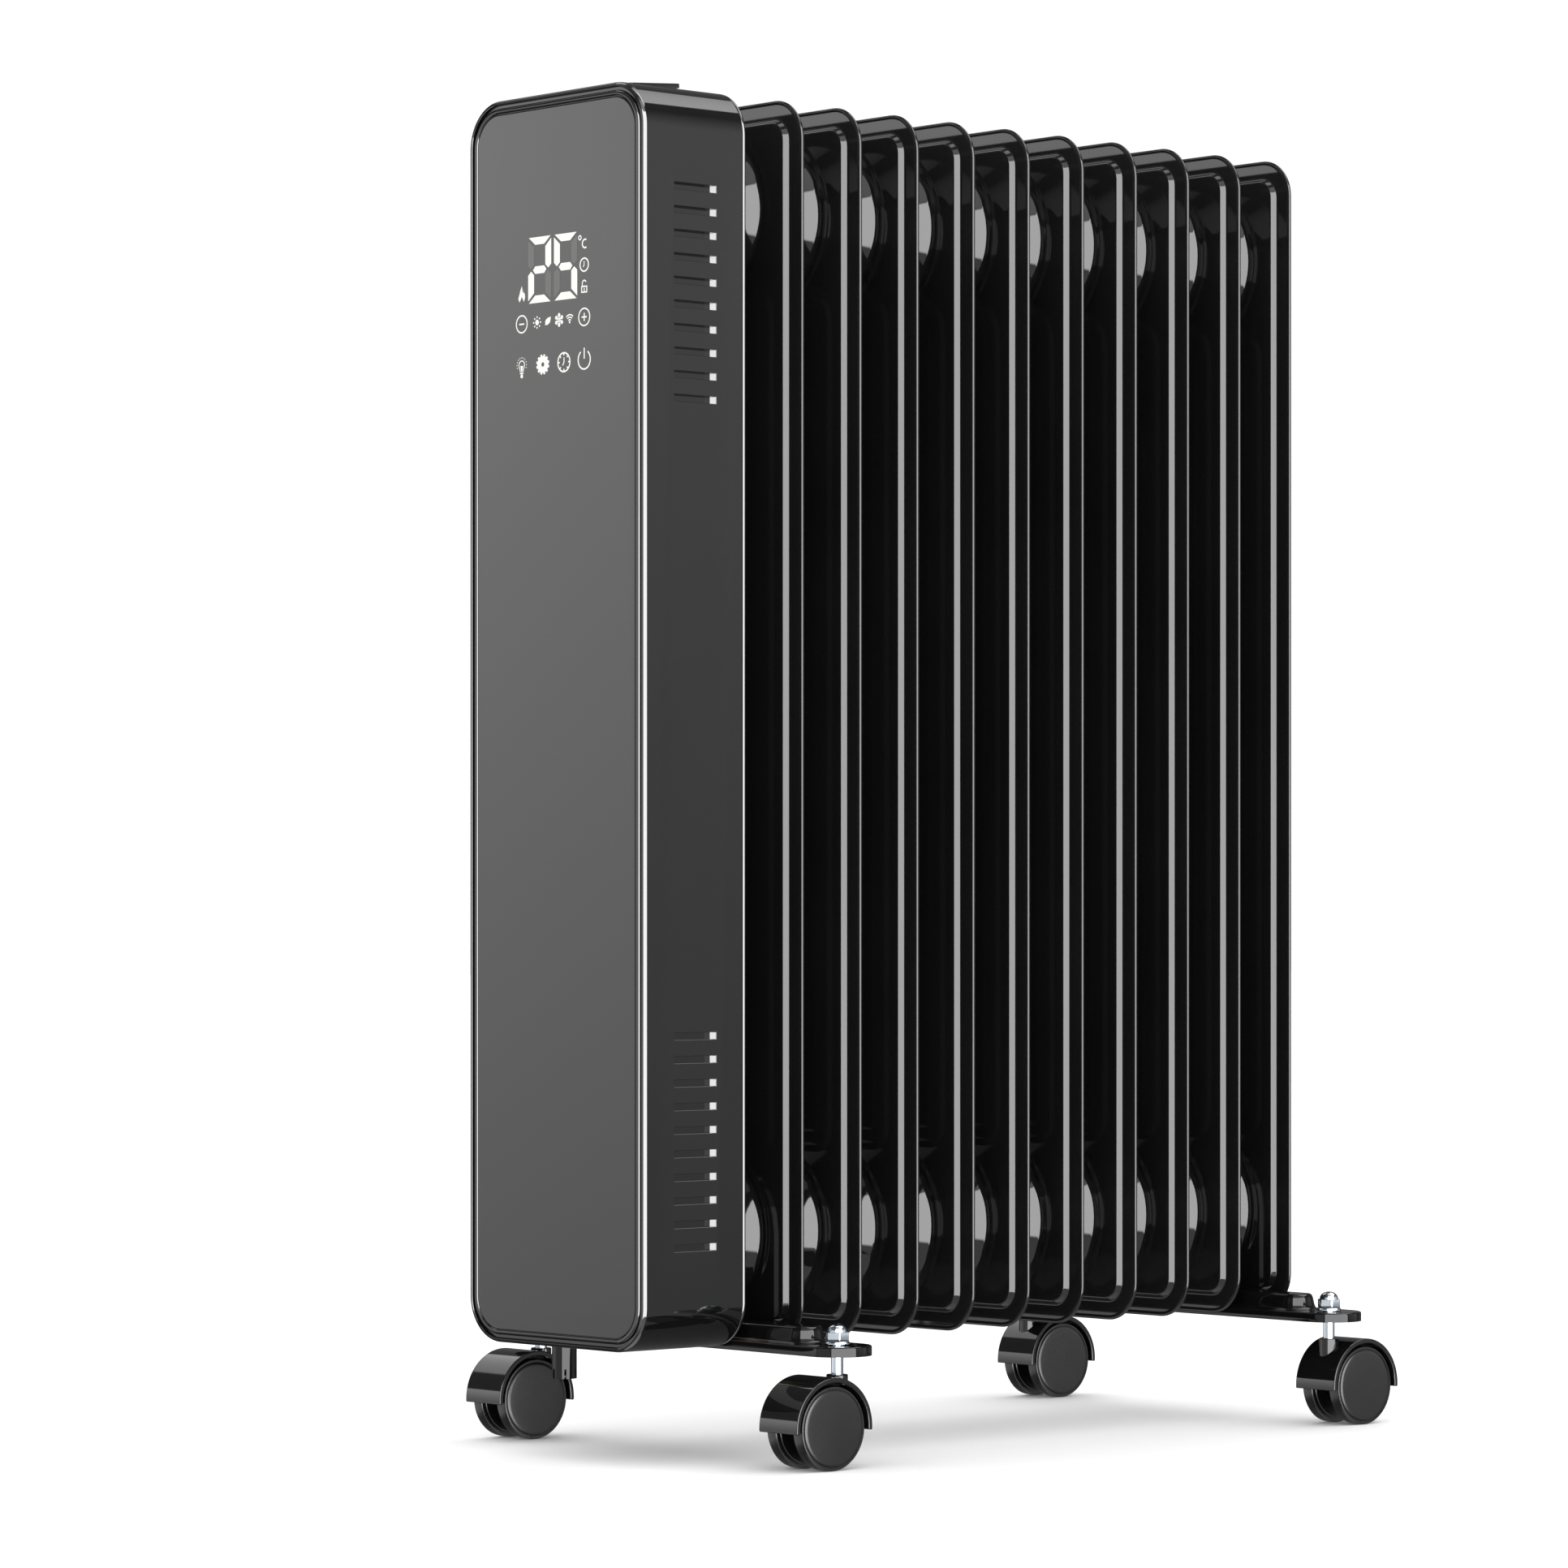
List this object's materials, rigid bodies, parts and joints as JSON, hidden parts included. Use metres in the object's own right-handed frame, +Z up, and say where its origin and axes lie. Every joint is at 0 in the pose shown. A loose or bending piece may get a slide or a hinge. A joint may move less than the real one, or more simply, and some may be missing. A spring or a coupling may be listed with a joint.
{
  "type": "oil filled radiator heater",
  "caption": "Free-standing oil filled radiator: pressed steel fins behind a tall glass-fronted control box, on two foot bars with swivelling twin-wheel casters.",
  "frame": {"origin": "centre of the footprint, on the floor the wheels stand on", "axes": "-Y towards the glass front and its display, +X to the right of the fins as seen from the front, +Z up"},
  "size_m": [0.253, 0.4598, 0.6569],
  "materials": {
    "black_enamel": "gloss baked enamel",
    "black_gloss_plastic": "high gloss",
    "black_matte_plastic": "matte",
    "circuit_board": "solder mask",
    "cutout_ceramic": "matte",
    "display_block": "satin",
    "element_sheath": "satin",
    "flange_brass": "turned",
    "front_glass": "back-painted gloss",
    "terminal_plastic": "matte",
    "wheel_nylon": "satin",
    "zinc_plate": "bright zinc"
  },
  "bodies": {
    "radiator": {"back_plate": "black_enamel", "cap_nut_front_left": "zinc_plate", "cap_nut_front_right": "zinc_plate", "cap_nut_rear_left": "zinc_plate", "cap_nut_rear_right": "zinc_plate", "caster_stem_front_left": "zinc_plate", "caster_stem_front_right": "zinc_plate", "caster_stem_rear_left": "zinc_plate", "caster_stem_rear_right": "zinc_plate", "cord_inlet": "black_matte_plastic", "display_board": "circuit_board", "display_module": "display_block", "element_flange": "flange_brass", "fin_01": "black_enamel", "fin_02": "black_enamel", "fin_03": "black_enamel", "fin_04": "black_enamel", "fin_05": "black_enamel", "fin_06": "black_enamel", "fin_07": "black_enamel", "fin_08": "black_enamel", "fin_09": "black_enamel", "fin_10": "black_enamel", "foot_bar_front": "black_enamel", "foot_bar_rear": "black_enamel", "front_bezel": "black_gloss_plastic", "glass_panel": "front_glass", "heating_element": "element_sheath", "housing_shell": "black_gloss_plastic", "mounting_stud": "zinc_plate", "oil_filler_plug": "zinc_plate", "power_board": "circuit_board", "room_sensor": "black_matte_plastic", "sensor_cage": "black_gloss_plastic", "terminal_block": "terminal_plastic", "thermal_cutout": "cutout_ceramic", "tip_over_switch": "black_matte_plastic", "top_cover": "black_gloss_plastic", "u_bolt_front": "black_enamel", "u_bolt_nut_front_left": "zinc_plate", "u_bolt_nut_front_right": "zinc_plate", "u_bolt_nut_rear_left": "zinc_plate", "u_bolt_nut_rear_right": "zinc_plate", "u_bolt_rear": "black_enamel"},
    "caster_front_left": {"caster_hood_front_left": "black_gloss_plastic", "caster_axle_front_left": "zinc_plate"},
    "wheel_front_left_left": {"wheel_front_left_left": "wheel_nylon"},
    "wheel_front_left_right": {"wheel_front_left_right": "wheel_nylon"},
    "caster_front_right": {"caster_hood_front_right": "black_gloss_plastic", "caster_axle_front_right": "zinc_plate"},
    "wheel_front_right_left": {"wheel_front_right_left": "wheel_nylon"},
    "wheel_front_right_right": {"wheel_front_right_right": "wheel_nylon"},
    "caster_rear_left": {"caster_hood_rear_left": "black_gloss_plastic", "caster_axle_rear_left": "zinc_plate"},
    "wheel_rear_left_left": {"wheel_rear_left_left": "wheel_nylon"},
    "wheel_rear_left_right": {"wheel_rear_left_right": "wheel_nylon"},
    "caster_rear_right": {"caster_hood_rear_right": "black_gloss_plastic", "caster_axle_rear_right": "zinc_plate"},
    "wheel_rear_right_left": {"wheel_rear_right_left": "wheel_nylon"},
    "wheel_rear_right_right": {"wheel_rear_right_right": "wheel_nylon"}
  },
  "joints": [
    {"name": "caster_swivel_front_left", "type": "hinge", "parent": "radiator", "child": "caster_front_left", "pos_m": [-0.11, -0.14796, 0.0442], "axis": [0, 0, 1], "continuous": true},
    {"name": "wheel_spin_front_left_left", "type": "hinge", "parent": "caster_front_left", "child": "wheel_front_left_left", "pos_m": [-0.11, -0.16146, 0.02], "axis": [1, 0, 0], "continuous": true},
    {"name": "wheel_spin_front_left_right", "type": "hinge", "parent": "caster_front_left", "child": "wheel_front_left_right", "pos_m": [-0.11, -0.16146, 0.02], "axis": [1, 0, 0], "continuous": true},
    {"name": "caster_swivel_front_right", "type": "hinge", "parent": "radiator", "child": "caster_front_right", "pos_m": [0.11, -0.14796, 0.0442], "axis": [0, 0, 1], "continuous": true},
    {"name": "wheel_spin_front_right_left", "type": "hinge", "parent": "caster_front_right", "child": "wheel_front_right_left", "pos_m": [0.11, -0.16146, 0.02], "axis": [1, 0, 0], "continuous": true},
    {"name": "wheel_spin_front_right_right", "type": "hinge", "parent": "caster_front_right", "child": "wheel_front_right_right", "pos_m": [0.11, -0.16146, 0.02], "axis": [1, 0, 0], "continuous": true},
    {"name": "caster_swivel_rear_left", "type": "hinge", "parent": "radiator", "child": "caster_rear_left", "pos_m": [-0.11, 0.19241, 0.0442], "axis": [0, 0, 1], "continuous": true},
    {"name": "wheel_spin_rear_left_left", "type": "hinge", "parent": "caster_rear_left", "child": "wheel_rear_left_left", "pos_m": [-0.11, 0.20591, 0.02], "axis": [1, 0, 0], "continuous": true},
    {"name": "wheel_spin_rear_left_right", "type": "hinge", "parent": "caster_rear_left", "child": "wheel_rear_left_right", "pos_m": [-0.11, 0.20591, 0.02], "axis": [1, 0, 0], "continuous": true},
    {"name": "caster_swivel_rear_right", "type": "hinge", "parent": "radiator", "child": "caster_rear_right", "pos_m": [0.11, 0.19241, 0.0442], "axis": [0, 0, 1], "continuous": true},
    {"name": "wheel_spin_rear_right_left", "type": "hinge", "parent": "caster_rear_right", "child": "wheel_rear_right_left", "pos_m": [0.11, 0.20591, 0.02], "axis": [1, 0, 0], "continuous": true},
    {"name": "wheel_spin_rear_right_right", "type": "hinge", "parent": "caster_rear_right", "child": "wheel_rear_right_right", "pos_m": [0.11, 0.20591, 0.02], "axis": [1, 0, 0], "continuous": true}
  ]
}
